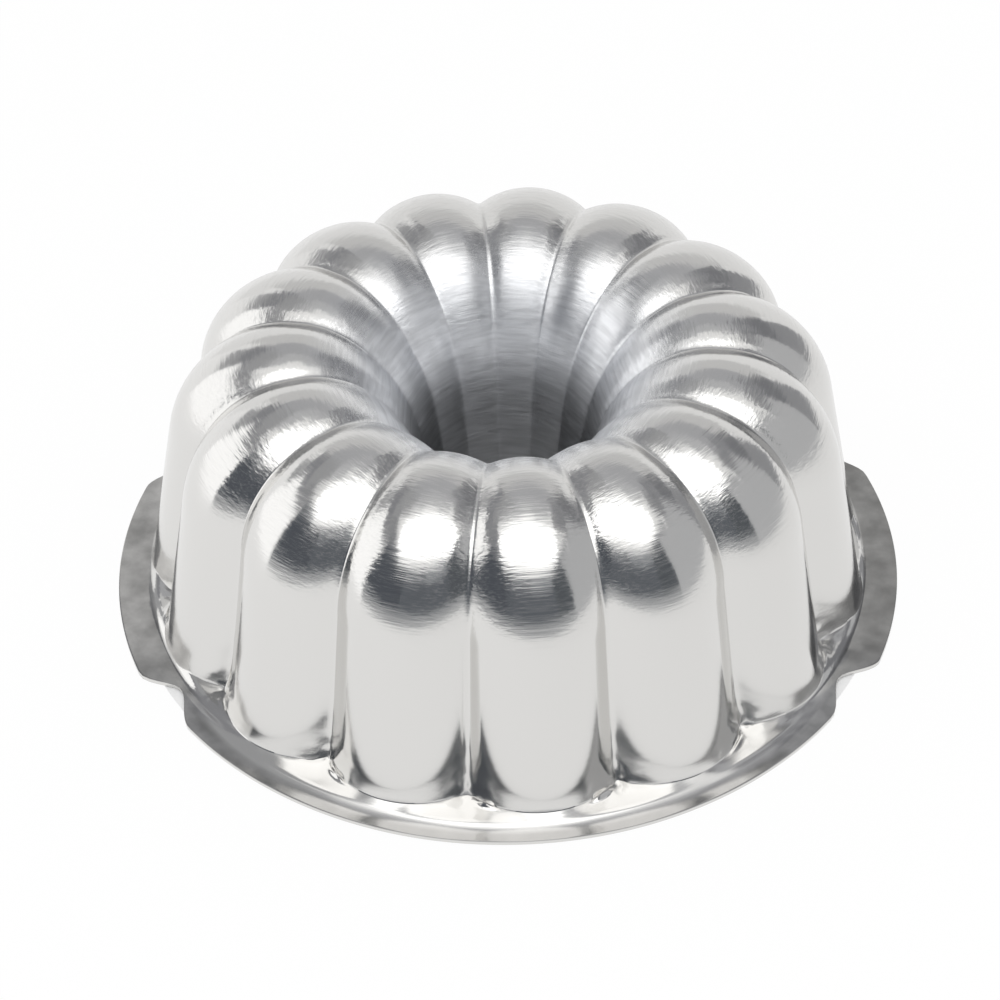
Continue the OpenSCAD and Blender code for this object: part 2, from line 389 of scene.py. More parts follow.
def fluted_sheet_tree():
    """The node tree that carries the section round the ring and sinks the grooves."""
    tree = bpy.data.node_groups.new("Fluted Sheet", "GeometryNodeTree")
    face = tree.interface
    face.new_socket("Section", in_out="INPUT", socket_type="NodeSocketGeometry")
    for name, kind in SHEET_INPUTS.items():
        face.new_socket(name, in_out="INPUT", socket_type=f"NodeSocket{kind}")
    face.new_socket("Sheet", in_out="OUTPUT", socket_type="NodeSocketGeometry")
    given = add(tree, "NodeGroupInput").outputs

    # A flat grid, one line of points for each step round the ring and one point for each row
    rows = add(tree, "GeometryNodeAttributeDomainSize", {0: given["Section"]})
    rows = rows.outputs["Point Count"]
    steps = add(tree, WHOLE, {0: given["Lobes"], 1: given["Steps"]}, operation="MULTIPLY")
    lines = add(tree, WHOLE, {0: steps, 1: 1}, operation="ADD")
    grid = add(tree, "GeometryNodeMeshGrid", {2: lines, 3: rows})
    index = add(tree, "GeometryNodeInputIndex")
    row = add(tree, WHOLE, {0: index, 1: rows}, operation="MODULO")
    step = add(tree, WHOLE, {0: index, 1: rows}, operation="DIVIDE_FLOOR")

    def of_row(name, kind):
        """What the section keeps under a name, read at this point's row."""
        if name == "position":
            value = add(tree, "GeometryNodeInputPosition")
        else:
            value = add(tree, "GeometryNodeInputNamedAttribute", {0: name}, data_type=kind)
        return add(
            tree,
            "GeometryNodeSampleIndex",
            {0: given["Section"], 1: value, 2: row},
            data_type=kind,
        )

    # Where the point lies across its lobe: near is 0 in a groove and 1 on the middle line
    across = add(tree, MATH, {0: step, 1: given["Steps"]}, operation="DIVIDE")
    wave = add(tree, MATH, {0: across, 1: 0.5}, operation="PINGPONG")
    wave = add(tree, MATH, {0: wave, 1: 2.0}, operation="MULTIPLY")
    near = add(tree, MATH, {0: wave, 1: given["Step Bias"]}, operation="POWER")
    lobe = add(tree, MATH, {0: across}, operation="FLOOR")
    part = add(tree, MATH, {0: across}, operation="FRACT")
    part = add(tree, MATH, {0: part, 1: 0.5}, operation="SUBTRACT")
    hand = add(tree, MATH, {0: part}, operation="SIGN")
    off = add(tree, MATH, {0: 1.0, 1: near}, operation="SUBTRACT")
    off = add(tree, MATH, {0: off, 1: hand}, operation="MULTIPLY")
    off = add(tree, MATH, {0: off, 1: 0.5}, operation="MULTIPLY")
    place = add(tree, MATH, {0: lobe, 1: off}, operation="ADD")
    pitch = add(tree, MATH, {0: math.tau, 1: given["Lobes"]}, operation="DIVIDE")
    turn = add(tree, MATH, {0: place, 1: pitch, 2: given["Turn"]}, operation="MULTIPLY_ADD")
    turn = add(tree, MATH, {0: turn, 1: math.pi / 2}, operation="SUBTRACT")

    # The groove's share of its depth, with its bottom rounded
    point = of_row("position", "FLOAT_VECTOR")
    radius = add(tree, "ShaderNodeSeparateXYZ", {0: point}).outputs["X"]
    half = add(tree, MATH, {0: radius, 1: pitch}, operation="MULTIPLY")
    half = add(tree, MATH, {0: half, 1: 0.5}, operation="MULTIPLY")
    blunt = add(tree, MATH, {0: of_row("fillet", "FLOAT"), 1: half}, operation="DIVIDE")
    blunt = add(tree, MATH, {0: blunt, 1: 2.0}, operation="POWER")
    soft = add(tree, MATH, {0: near, 1: near, 2: blunt}, operation="MULTIPLY_ADD")
    soft = add(tree, MATH, {0: soft}, operation="SQRT")
    side = add(tree, MATH, {0: 1.0, 1: soft}, operation="SUBTRACT")
    shares = []
    for reach in (side, 1.0):
        bow = add(tree, MATH, {0: given["Roundness"], 1: reach}, operation="MULTIPLY")
        bow = add(tree, MATH, {0: bow, 1: 2.0}, operation="POWER")
        bow = add(tree, MATH, {0: 1.0, 1: bow}, operation="SUBTRACT")
        bow = add(tree, MATH, {0: bow}, operation="SQRT")
        shares.append(add(tree, MATH, {0: 1.0, 1: bow}, operation="SUBTRACT"))
    share = add(tree, MATH, {0: shares[0], 1: shares[1]}, operation="DIVIDE")

    sunk = of_row("to_groove", "FLOAT_VECTOR")
    sunk = add(tree, VECTOR, {0: sunk, "Scale": share}, operation="SCALE")
    drawn = add(tree, VECTOR, {0: point, 1: sunk}, operation="ADD")

    # The rim's outline: the ears stand out, and a notch dips on both sides of each
    cosine = add(tree, MATH, {0: turn}, operation="COSINE")
    sine = add(tree, MATH, {0: turn}, operation="SINE")
    folded = add(
        tree,
        MATH,
        {
            0: add(tree, MATH, {0: sine}, operation="ABSOLUTE"),
            1: add(tree, MATH, {0: cosine}, operation="ABSOLUTE"),
        },
        operation="ARCTAN2",
    )
    behind = add(tree, MATH, {0: sine, 1: 0.0}, operation="GREATER_THAN")
    notch = add(tree, MATH, {0: given["Rear Notch"], 1: given["Front Notch"]}, operation="SUBTRACT")
    notch = add(
        tree, MATH, {0: notch, 1: behind, 2: given["Front Notch"]}, operation="MULTIPLY_ADD"
    )
    ear_from = add(tree, MATH, {0: notch, 1: given["Notch Ear Side"]}, operation="SUBTRACT")
    rim_from = add(tree, MATH, {0: notch, 1: given["Notch Rim Side"]}, operation="ADD")
    ear_radius = add(tree, MATH, {0: sine, 1: given["Ear Shift"]}, operation="MULTIPLY")
    ear_radius = add(tree, MATH, {0: given["Ear Radius"], 1: ear_radius}, operation="SUBTRACT")
    ear_edge = add(
        tree,
        RANGE,
        {0: folded, **between(ear_from, notch, ear_radius, given["Notch Radius"])},
        interpolation_type="SMOOTHSTEP",
    )
    rim_edge = add(
        tree,
        RANGE,
        {0: folded, **between(notch, rim_from, given["Notch Radius"], given["Rim Radius"])},
        interpolation_type="SMOOTHSTEP",
    )
    edge = add(tree, MATH, {0: ear_edge, 1: rim_edge}, operation="ADD")
    edge = add(tree, MATH, {0: edge, 1: given["Notch Radius"]}, operation="SUBTRACT")

    # Rim rows are drawn out to the outline. They run on down the slope, and level off at the flat.
    split = add(tree, "ShaderNodeSeparateXYZ", {0: drawn}).outputs
    out = add(tree, MATH, {0: edge, 1: split["X"]}, operation="SUBTRACT")
    out = add(tree, MATH, {0: out, 1: of_row("stretch", "FLOAT")}, operation="MULTIPLY")
    reach = add(tree, MATH, {0: split["X"], 1: out}, operation="ADD")
    tilt = add(tree, MATH, {0: given["Slope"]}, operation="TANGENT")
    drop = add(tree, MATH, {0: out, 1: tilt}, operation="MULTIPLY")
    rise = add(tree, MATH, {0: given["Flat Radius"], 1: reach}, operation="SUBTRACT")
    rise = add(tree, MATH, {0: rise, 1: tilt}, operation="MULTIPLY")
    bend = add(tree, MATH, {0: given["Crease"], 1: given["Crease"]}, operation="MULTIPLY")
    bend = add(tree, MATH, {0: rise, 1: rise, 2: bend}, operation="MULTIPLY_ADD")
    bend = add(tree, MATH, {0: bend}, operation="SQRT")
    bend = add(tree, MATH, {0: bend, 1: rise}, operation="SUBTRACT")
    level = add(tree, MATH, {0: split["Z"], 1: drop}, operation="SUBTRACT")
    level = add(tree, MATH, {0: bend, 1: 0.5, 2: level}, operation="MULTIPLY_ADD")

    # At the ears the slope gives way to a flat that reaches in to the feet of the lobes
    spread = add(tree, MATH, {0: notch, 1: given["Ear Spread"]}, operation="ADD")
    at_ear = add(
        tree,
        RANGE,
        {0: folded, **between(ear_from, spread, 1.0, 0.0)},
        interpolation_type="SMOOTHSTEP",
    )
    inner = add(tree, MATH, {0: given["Ear Flat Radius"], 1: EAR_BEND}, operation="SUBTRACT")
    beyond = add(
        tree,
        RANGE,
        {0: reach, **between(inner, given["Ear Flat Radius"])},
        interpolation_type="SMOOTHSTEP",
    )
    low = add(tree, RANGE, {0: level, **between(*EAR_FLAT_FADE)})
    beyond = add(tree, MATH, {0: beyond, 1: at_ear}, operation="MULTIPLY")
    beyond = add(tree, MATH, {0: beyond, 1: low}, operation="MULTIPLY")
    flat = add(tree, MATH, {0: given["Thickness"], 1: level}, operation="SUBTRACT")
    level = add(tree, MATH, {0: flat, 1: beyond, 2: level}, operation="MULTIPLY_ADD")

    position = add(
        tree,
        "ShaderNodeCombineXYZ",
        {
            0: add(tree, MATH, {0: reach, 1: cosine}, operation="MULTIPLY"),
            1: add(tree, MATH, {0: reach, 1: sine}, operation="MULTIPLY"),
            2: level,
        },
    )

    # The sheet is slightly uneven above the rim, and only ever lower than its full height
    uneven = add(tree, NOISE, {"Vector": position, "Scale": DENT_SCALE, "Detail": 1.0})
    uneven = add(
        tree, VECTOR, {0: uneven.outputs["Color"], 1: DENT_MIDDLE}, operation="SUBTRACT"
    )
    above = add(tree, RANGE, {0: level, **between(*UNEVEN_FADE, high=given["Unevenness"])})
    uneven = add(tree, VECTOR, {0: uneven, "Scale": above}, operation="SCALE")

    # At the foot of each groove the sheet had too little room, and puckered
    pucker = add(tree, NOISE, {"Vector": position, "Scale": PUCKER_SCALE, "Detail": 1.0})
    pucker = add(
        tree, VECTOR, {0: pucker.outputs["Color"], 1: PUCKER_MIDDLE}, operation="SUBTRACT"
    )
    depth = add(tree, MATH, {0: share, 1: 2.0}, operation="POWER")
    depth = add(tree, MATH, {0: depth, 1: of_row("pucker", "FLOAT")}, operation="MULTIPLY")
    depth = add(tree, MATH, {0: depth, 1: given["Pucker"]}, operation="MULTIPLY")
    pucker = add(tree, VECTOR, {0: pucker, "Scale": depth}, operation="SCALE")
    uneven = add(tree, VECTOR, {0: uneven, 1: pucker}, operation="ADD")

    # Beside each groove's foot a fold runs out, on one side or the other and more or less high
    groove = add(tree, MATH, {0: across}, operation="ROUND")
    groove = add(tree, MATH, {0: groove, 1: given["Lobes"]}, operation="FLOORED_MODULO")
    height = add(
        tree,
        "FunctionNodeRandomValue",
        {"Min": -FOLD_MOST, "Max": FOLD_MOST, "ID": groove, "Seed": FOLD_SEED},
        data_type="FLOAT",
    )
    height = add(tree, MATH, {0: height, 1: hand}, operation="MULTIPLY")
    height = add(tree, MATH, {0: height, 1: 0.0}, operation="MAXIMUM")
    for ends in FOLD_FADES:
        fade = add(tree, RANGE, {0: near, **between(*ends)}, interpolation_type="SMOOTHSTEP")
        height = add(tree, MATH, {0: height, 1: fade}, operation="MULTIPLY")
    height = add(tree, MATH, {0: height, 1: of_row("fold", "FLOAT")}, operation="MULTIPLY")
    height = add(tree, MATH, {0: height, 1: given["Fold"]}, operation="MULTIPLY")
    fold = add(tree, "ShaderNodeCombineXYZ", {2: height})
    uneven = add(tree, VECTOR, {0: uneven, 1: fold}, operation="ADD")

    sheet = add(
        tree, "GeometryNodeSetPosition", {0: grid, "Position": position, "Offset": uneven}
    )
    sheet = add(tree, "GeometryNodeMergeByDistance", {0: sheet, "Distance": SEAM_GAP})
    sheet = add(tree, "GeometryNodeSetShadeSmooth", {0: sheet})
    sheet = add(tree, "GeometryNodeRealizeInstances", {0: sheet})
    sheet = add(tree, "GeometryNodeSetMaterial", {0: sheet, "Material": given["Material"]})
    add(tree, "NodeGroupOutput", {0: sheet})
    return tree


# The ends of the ring are joined where they lie closer than this
SEAM_GAP = 0.000005

# Width of the bend between a lobe's foot and an ear's flat, and the heights between which the
# flat gives way to the lobe
EAR_BEND = 0.0026
EAR_FLAT_FADE = (0.005, 0.011, 1.0, 0.0)

# Unevenness is about 14 mm across and puckers 4.5 mm: they come this many times in a metre. What is
# taken from their noise lets the unevenness only lower the sheet, and the puckers mostly raise it.
DENT_SCALE = 70.0
DENT_MIDDLE = (0.5, 0.5, 1.1)
PUCKER_SCALE = 220.0
PUCKER_MIDDLE = (0.5, 0.5, 0.4)

# The sheet turns uneven between these heights
UNEVEN_FADE = (0.003, 0.01)

# The fold runs from this share of the way in over the slope to the lobes' feet, rises and fades at
# these places across a lobe, and is at most this many times as high as its size says. The seed
# settles on which side of each groove it lies.
FOLD_START = 0.7
FOLD_FADES = ((0.02, 0.26, 0.0, 1.0), (0.28, 0.4, 1.0, 0.0))
FOLD_MOST = 1.2
FOLD_SEED = 30

# The tree's inputs, with the kind of each
SHEET_INPUTS = {
    "Lobes": "Int",
    "Steps": "Int",
    "Step Bias": "Float",
    "Turn": "Float",
    "Roundness": "Float",
    "Rim Radius": "Float",
    "Ear Radius": "Float",
    "Ear Shift": "Float",
    "Notch Radius": "Float",
    "Front Notch": "Float",
    "Rear Notch": "Float",
    "Notch Rim Side": "Float",
    "Notch Ear Side": "Float",
    "Flat Radius": "Float",
    "Slope": "Float",
    "Thickness": "Float",
    "Ear Flat Radius": "Float",
    "Ear Spread": "Float",
    "Crease": "Float",
    "Unevenness": "Float",
    "Pucker": "Float",
    "Fold": "Float",
    "Material": "Material",
}


def spun_aluminium(finish):
    """Bare pressed aluminium, turned on a lathe.

    Fine turning lines run round the axis. They draw every reflection out across themselves, break
    its edges into streaks, and deep in the throat they blur it. The ears and the rim's flat ring
    are darker and blotched. Painted light brightens the throat's colour, and painted shade darkens
    the centre tube's and the right ear's.
    """
    material = bpy.data.materials.new("spun_aluminium")
    material.use_nodes = True
    tree = material.node_tree
    shader = tree.nodes["Principled BSDF"]
    shader.inputs["Metallic"].default_value = 1.0
    shader.inputs["Anisotropic"].default_value = LINE_BLUR
    shader.inputs["Anisotropic Rotation"].default_value = ACROSS_LINES

    place = add(tree, "ShaderNodeTexCoord").outputs["Object"]
    round_axis = add(tree, VECTOR, {0: (0, 0, 1), 1: place}, operation="CROSS_PRODUCT")
    round_axis = add(tree, VECTOR, {0: round_axis}, operation="NORMALIZE")
    tree.links.new(round_axis.outputs[0], shader.inputs["Tangent"])

    # The lines follow circles round the axis, so their pattern is drawn over radius and height
    split = add(tree, "ShaderNodeSeparateXYZ", {0: place}).outputs
    flat = add(tree, "ShaderNodeCombineXYZ", {0: split["X"], 1: split["Y"]})
    radius = add(tree, VECTOR, {0: flat}, operation="LENGTH").outputs["Value"]
    heading = add(tree, VECTOR, {0: flat}, operation="NORMALIZE")
    heading = add(tree, "ShaderNodeSeparateXYZ", {0: heading}).outputs
    height = 0.0
    bands = []
    for gap, drift, depth in LINE_BANDS:
        scale = 1 / (finish.line_gap * gap)
        across = add(
            tree,
            "ShaderNodeCombineXYZ",
            {
                0: add(tree, MATH, {0: radius, 1: scale}, operation="MULTIPLY"),
                1: add(tree, MATH, {0: split["Z"], 1: scale}, operation="MULTIPLY"),
                2: add(tree, MATH, {0: heading["X"], 1: drift}, operation="MULTIPLY"),
            },
        )
        lines = add(
            tree,
            NOISE,
            {
                "Vector": across,
                "W": add(tree, MATH, {0: heading["Y"], 1: drift}, operation="MULTIPLY"),
                "Scale": 1.0,
                "Detail": 1.0,
            },
            noise_dimensions="4D",
        )
        bands.append(lines)
        height = add(tree, MATH, {0: lines, 1: depth, 2: height}, operation="MULTIPLY_ADD")

    # The turning is uneven: some patches have deep lines and others hardly any
    patches = add(tree, NOISE, {"Vector": place, "Scale": PATCH_SCALE, "Detail": 1.0})
    patches = add(tree, RANGE, {0: patches, **between(*PATCH_FADE)})
    height = add(tree, MATH, {0: height, 1: patches}, operation="MULTIPLY")

    # On the outside they fade towards the wall, which stays almost smooth
    upper = add(tree, RANGE, {0: split["Z"], **between(*OUTER_LINES_FADE)})
    inside = add(tree, MATH, {0: radius, 1: CREST_R}, operation="LESS_THAN")
    upper = add(tree, MATH, {0: upper, 1: inside}, operation="MAXIMUM")
    height = add(tree, MATH, {0: height, 1: upper}, operation="MULTIPLY")
    bump = add(tree, "ShaderNodeBump", {"Height": height, "Distance": finish.line_depth})
    tree.links.new(bump.outputs["Normal"], shader.inputs["Normal"])

    # Deep in the throat the surface is rougher, and everywhere some lines are rougher than others
    roughness = between(THROAT_R, CREST_OUT_R, finish.throat_roughness, finish.roughness)
    roughness = add(tree, RANGE, {0: radius, **roughness})
    rough_lines = between(*ROUGH_LINES_FADE, high=finish.line_roughness)
    rough_lines = add(tree, RANGE, {0: bands[0], **rough_lines})
    rough_lines = add(tree, MATH, {0: rough_lines, 1: upper}, operation="MULTIPLY")
    roughness = add(tree, MATH, {0: roughness, 1: rough_lines}, operation="ADD")
    tree.links.new(roughness.outputs[0], shader.inputs["Roughness"])

    # Darker and blotched on the ears and on the rim's flat ring, which lie lowest, but not on their
    # cut edge
    ear = add(tree, RANGE, {0: split["Z"], **between(*DULL_FADE)})
    outside = add(tree, MATH, {0: radius, 1: DULL_R}, operation="GREATER_THAN")
    ear = add(tree, MATH, {0: ear, 1: outside}, operation="MULTIPLY")
    cut = add(tree, MATH, {0: split["Z"], 1: CUT_EDGE_Z, 2: CUT_EDGE_HALF}, operation="COMPARE")
    ear = add(tree, MATH, {0: ear, 1: cut}, operation="SUBTRACT", use_clamp=True)
    blotch = add(tree, NOISE, {"Vector": place, "Scale": BLOTCH_SCALE, "Detail": 3.0})
    tones = between(*BLOTCH_FADE, finish.dull - BLOTCH_DARKER, finish.dull + BLOTCH_LIGHTER)
    blotch = add(tree, RANGE, {0: blotch, **tones})
    # Painted shade: the right ear's colour is made darker towards +X
    right = add(tree, RANGE, {0: split["X"], **between(*RIGHT_EAR_SHADE)})
    front = add(tree, RANGE, {0: split["Y"], **between(*FRONT_FADE)})
    blotch = add(tree, "ShaderNodeMix", {0: front, 2: blotch, 3: finish.dull})
    blotch = add(tree, MATH, {0: blotch, 1: right}, operation="MULTIPLY")
    tone = add(tree, "ShaderNodeMix", {0: ear, 2: 1.0, 3: blotch})

    # Painted light makes the throat's colour brighter, in streaks; it is also slightly cooler.
    # Painted shade makes the tube under it darker.
    throat = add(tree, RANGE, {0: radius, **between(THROAT_R, CREST_OUT_R, 1.0, 0.0)})
    streaks = add(tree, RANGE, {0: bands[1], **between(*STREAK_FADE)})
    streaks = add(tree, MATH, {0: streaks, 1: finish.throat_painted_light}, operation="ADD")
    lift = add(tree, "ShaderNodeMix", {0: throat, 2: 1.0, 3: streaks})
    tone = add(tree, MATH, {0: tone, 1: lift}, operation="MULTIPLY")
    # Painted shade deep in the tube
    tube_shade = add(tree, RANGE, {0: radius, **between(TUBE_R, FUNNEL_R, finish.tube_painted_shade)})
    tone = add(tree, MATH, {0: tone, 1: tube_shade}, operation="MULTIPLY")
    metal = add(
        tree,
        "ShaderNodeMix",
        {0: throat, 4: finish.metal[:3], 5: finish.throat_metal[:3]},
        data_type="VECTOR",
    )
    metal = add(tree, VECTOR, {0: metal, "Scale": tone}, operation="SCALE")
    tree.links.new(metal.outputs[0], shader.inputs["Base Color"])
    return material


# The blur across the lines is this strong, and its direction is a quarter turn from them
LINE_BLUR = 0.8
ACROSS_LINES = 0.25

# Bands of lines: their spacing against the line gap, how soon a line fades round the axis,
# and their depth against the line depth. Most of the real lines are too fine to show, so the
# second band is drawn as coarse as it needs to be.
LINE_BANDS = ((1.0, 2.5, 1.0), (3.2, 2.0, 2.0))

# Patches are about 17 mm across and blotches 9 mm: they come this many times in a metre
PATCH_SCALE = 60.0
BLOTCH_SCALE = 110.0

# The throat's roughness, painted light and colour fade out between the first two radii, and the
# tube's painted shade between the next two. Low down the sheet is darker outside the last.
THROAT_R = 0.042
CREST_OUT_R = 0.062
TUBE_R = 0.024
FUNNEL_R = 0.033
DULL_R = 0.112

# Fades over a noise: where they start and end, and the values there where they aren't 0 and 1
PATCH_FADE = (0.3, 0.7, 0.35, 1.3)
ROUGH_LINES_FADE = (0.4, 0.75)
STREAK_FADE = (0.35, 0.65, -0.1, 0.1)
BLOTCH_FADE = (0.3, 0.7)

# A blotch is at most this much darker or lighter than the ear
BLOTCH_DARKER = 0.15
BLOTCH_LIGHTER = 0.2

# Fades over the sheet: the turning lines over the height of the outside, the darker tone over the
# height of the rim, the right ear's painted shade over X, and a rim without blotches in front over
# Y
OUTER_LINES_FADE = (0.056, 0.074, 0.1, 1.0)
DULL_FADE = (0.0021, 0.0017)
RIGHT_EAR_SHADE = (0.1, 0.116, 1.0, 0.7)
FRONT_FADE = (-0.115, -0.09, 0.8, 0.0)

# The cut edge shows round this height, and this far above and below it
CUT_EDGE_Z = 0.0007
CUT_EDGE_HALF = 0.0006


def glowing(name, hex_value, strength):
    """An even glow that reflects nothing itself, for the softbox and the cards."""
    material = bpy.data.materials.new(name)
    material.use_nodes = True
    shader = material.node_tree.nodes["Principled BSDF"]
    shader.inputs["Roughness"].default_value = 1.0
    shader.inputs["Base Color"].default_value = (0, 0, 0, 1)
    shader.inputs["Specular IOR Level"].default_value = 0.0
    shader.inputs["Emission Color"].default_value = linear(hex_value)
    shader.inputs["Emission Strength"].default_value = strength
    return material


def link(name, mesh):
    """Puts a mesh into the scene under a name."""
    piece = bpy.data.objects.new(name, mesh)
    bpy.context.scene.collection.objects.link(piece)
    return piece


class MOULD_OT_pressed_sheet(bpy.types.Operator):
    """Press the fluted sheet: rim, ears, lobes, throat and centre tube"""

    bl_idname = "mould.pressed_sheet"
    bl_label = "Pressed Sheet"

    def execute(self, context):
        sizes = context.scene.mould_sheet
        blank = link("sheet_section", section_mesh(sizes))
        modifier = blank.modifiers.new("Fluted Sheet", "NODES")
        modifier.node_group = fluted_sheet_tree()
        values = {
            "Lobes": sizes.lobes,
            "Steps": STEPS_PER_LOBE,
            "Step Bias": STEP_BIAS,
            "Turn": sizes.lobe_turn,
            "Roundness": sizes.roundness,
            "Rim Radius": RIM_R,
            "Ear Radius": EAR_R - sizes.ear_inset,
            "Ear Shift": sizes.ear_shift,
            "Notch Radius": sizes.notch_r,
            "Front Notch": sizes.front_notch,
            "Rear Notch": sizes.rear_notch,
            "Notch Rim Side": sizes.notch_rim_side,
            "Notch Ear Side": sizes.notch_ear_side,
            "Flat Radius": RIM_R - sizes.rim_flat,
            "Slope": sizes.rim_slope,
            "Thickness": sizes.thickness,
            "Ear Flat Radius": sizes.ear_flat_r,
            "Ear Spread": sizes.ear_spread,
            "Crease": sizes.crease,
            "Unevenness": context.scene.mould_finish.dents,
            "Pucker": sizes.pucker,
            "Fold": sizes.fold,
            "Material": spun_aluminium(context.scene.mould_finish),
        }
        for item in modifier.node_group.interface.items_tree:
            if item.name in values:
                modifier[item.identifier] = values[item.name]
        context.view_layer.update()
        graph = context.evaluated_depsgraph_get()
        mesh = bpy.data.meshes.new_from_object(blank.evaluated_get(graph))
        bpy.data.objects.remove(blank)
        if len(mesh.polygons) == 0:
            raise RuntimeError("the node tree gave no faces")
        mesh.name = "pressed_sheet"
        sheet = link("pressed_sheet", mesh)
        wall = sheet.modifiers.new("Thickness", "SOLIDIFY")
        wall.thickness = sizes.thickness
        wall.offset = -1
        wall.use_even_offset = True
        edge = sheet.modifiers.new("Cut Edge", "BEVEL")
        edge.width = sizes.edge_round
        edge.segments = 2
        edge.limit_method = "ANGLE"
        edge.angle_limit = CUT_EDGE_ANGLE
        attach(sheet, "root")
        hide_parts(*SHEET_NODES)
        return {"FINISHED"}


# Edges sharper than this are rounded: the sheet's cut edges, and no bend or groove
CUT_EDGE_ANGLE = math.radians(55)


def rectangle(name, width, depth, material):
    """A flat sheet in its own XY plane, facing +Z."""
    mesh = bpy.data.meshes.new(name)
    w, d = width / 2, depth / 2
    mesh.from_pydata([(-w, -d, 0), (w, -d, 0), (w, d, 0), (-w, d, 0)], [], [(0, 1, 2, 3)])
    mesh.materials.append(material)
    return link(name, mesh)


def curved_card(name, turns, tilts, material):
    """A card curved round the mould, between two turns from the front and two heights.

    Both are given in degrees.
    """
    lines = max(2, round((turns[1] - turns[0]) / CARD_STEP)) + 1
    points = []
    for i in range(lines):
        turn = math.radians(mix(*turns, i / (lines - 1)))
        for j in range(CARD_ROWS):
            tilt = math.radians(mix(*tilts, j / (CARD_ROWS - 1)))
            out = ROOM_R * math.cos(tilt)
            points.append(
                (
                    out * math.sin(turn),
                    -out * math.cos(turn),
                    ROOM_Z + ROOM_R * math.sin(tilt),
                )
            )
    faces = [
        (a, a + 1, a + CARD_ROWS + 1, a + CARD_ROWS)
        for i in range(lines - 1)
        for a in range(i * CARD_ROWS, (i + 1) * CARD_ROWS - 1)
    ]
    mesh = bpy.data.meshes.new(name)
    mesh.from_pydata(points, [], faces)
    mesh.materials.append(material)
    return link(name, mesh)


def round_panel(name, material):
    """The softbox's panel, in its own XY plane."""
    points = []
    for i in range(SOFTBOX_POINTS):
        turn = math.tau * i / SOFTBOX_POINTS
        points.append(
            [
                half * math.copysign(abs(part) ** (2 / SOFTBOX_POWER), part)
                for half, part in zip(SOFTBOX_HALF, (math.cos(turn), math.sin(turn)))
            ]
            + [0]
        )
    mesh = bpy.data.meshes.new(name)
    mesh.from_pydata(points, [], [range(SOFTBOX_POINTS)])
    mesh.materials.append(material)
    return link(name, mesh)


def face_to(piece, target):
    """Turns the softbox or the camera so that its -Z axis points at a target."""
    piece.rotation_mode = "QUATERNION"
    piece.rotation_quaternion = (Vector(target) - piece.location).to_track_quat("-Z", "Y")


def seen_directly_or_mirrored(tree):
    """The light path node, and 1 for camera, glossy and transmission rays."""
    path = add(tree, "ShaderNodeLightPath").outputs
    seen = add(
        tree, MATH, {0: path["Is Camera Ray"], 1: path["Is Glossy Ray"]}, operation="MAXIMUM"
    )
    seen = add(tree, MATH, {0: seen, 1: path["Is Transmission Ray"]}, operation="MAXIMUM")
    return path, seen


def studio_floor(settings):
    """Matt white paper. Part of its white is its own, so it stays pale out to its edges."""
    material = bpy.data.materials.new("studio_floor")
    material.use_nodes = True
    tree = material.node_tree
    tree.nodes.clear()
    path, seen = seen_directly_or_mirrored(tree)
    place = add(tree, "ShaderNodeTexCoord").outputs["Object"]
    out = add(tree, VECTOR, {0: place}, operation="LENGTH").outputs["Value"]
    outside = add(tree, MATH, {0: out, 1: RIM_R - UNDER_RIM}, operation="GREATER_THAN")
    lift = add(tree, MATH, {0: seen, 1: settings.floor_lift}, operation="MULTIPLY")
    lift = add(tree, MATH, {0: lift, 1: outside}, operation="MULTIPLY")
    across = add(tree, "ShaderNodeSeparateXYZ", {0: place}).outputs["X"]
    mirrored = settings.floor_mirrored
    dimmed = between(-FLOOR_SIDE, FLOOR_SIDE, mirrored + FLOOR_BRIGHTER, mirrored - FLOOR_DIMMER)
    dimmed = add(tree, RANGE, {0: across, **dimmed})
    strength = add(tree, RANGE, {0: path["Is Glossy Ray"], 3: 1.0, 4: dimmed})
    matt = add(tree, "ShaderNodeBsdfDiffuse", {"Color": settings.floor})
    white = add(tree, "ShaderNodeEmission", {"Strength": strength})
    both = add(tree, "ShaderNodeMixShader", {0: lift, 1: matt, 2: white})
    add(tree, "ShaderNodeOutputMaterial", {"Surface": both})
    return material


# The floor is this long and wide
FLOOR_SIZE = 6

# The floor lies this far under the rim, so that the two never coincide, and has no white of its
# own under the mould, up to this far inside the rim's edge
FLOOR_GAP = 0.0001
UNDER_RIM = 0.003

# In the metal the floor is this much brighter this far to the left, and dimmer to the right
FLOOR_SIDE = 0.5
FLOOR_BRIGHTER = 0.05
FLOOR_DIMMER = 0.09


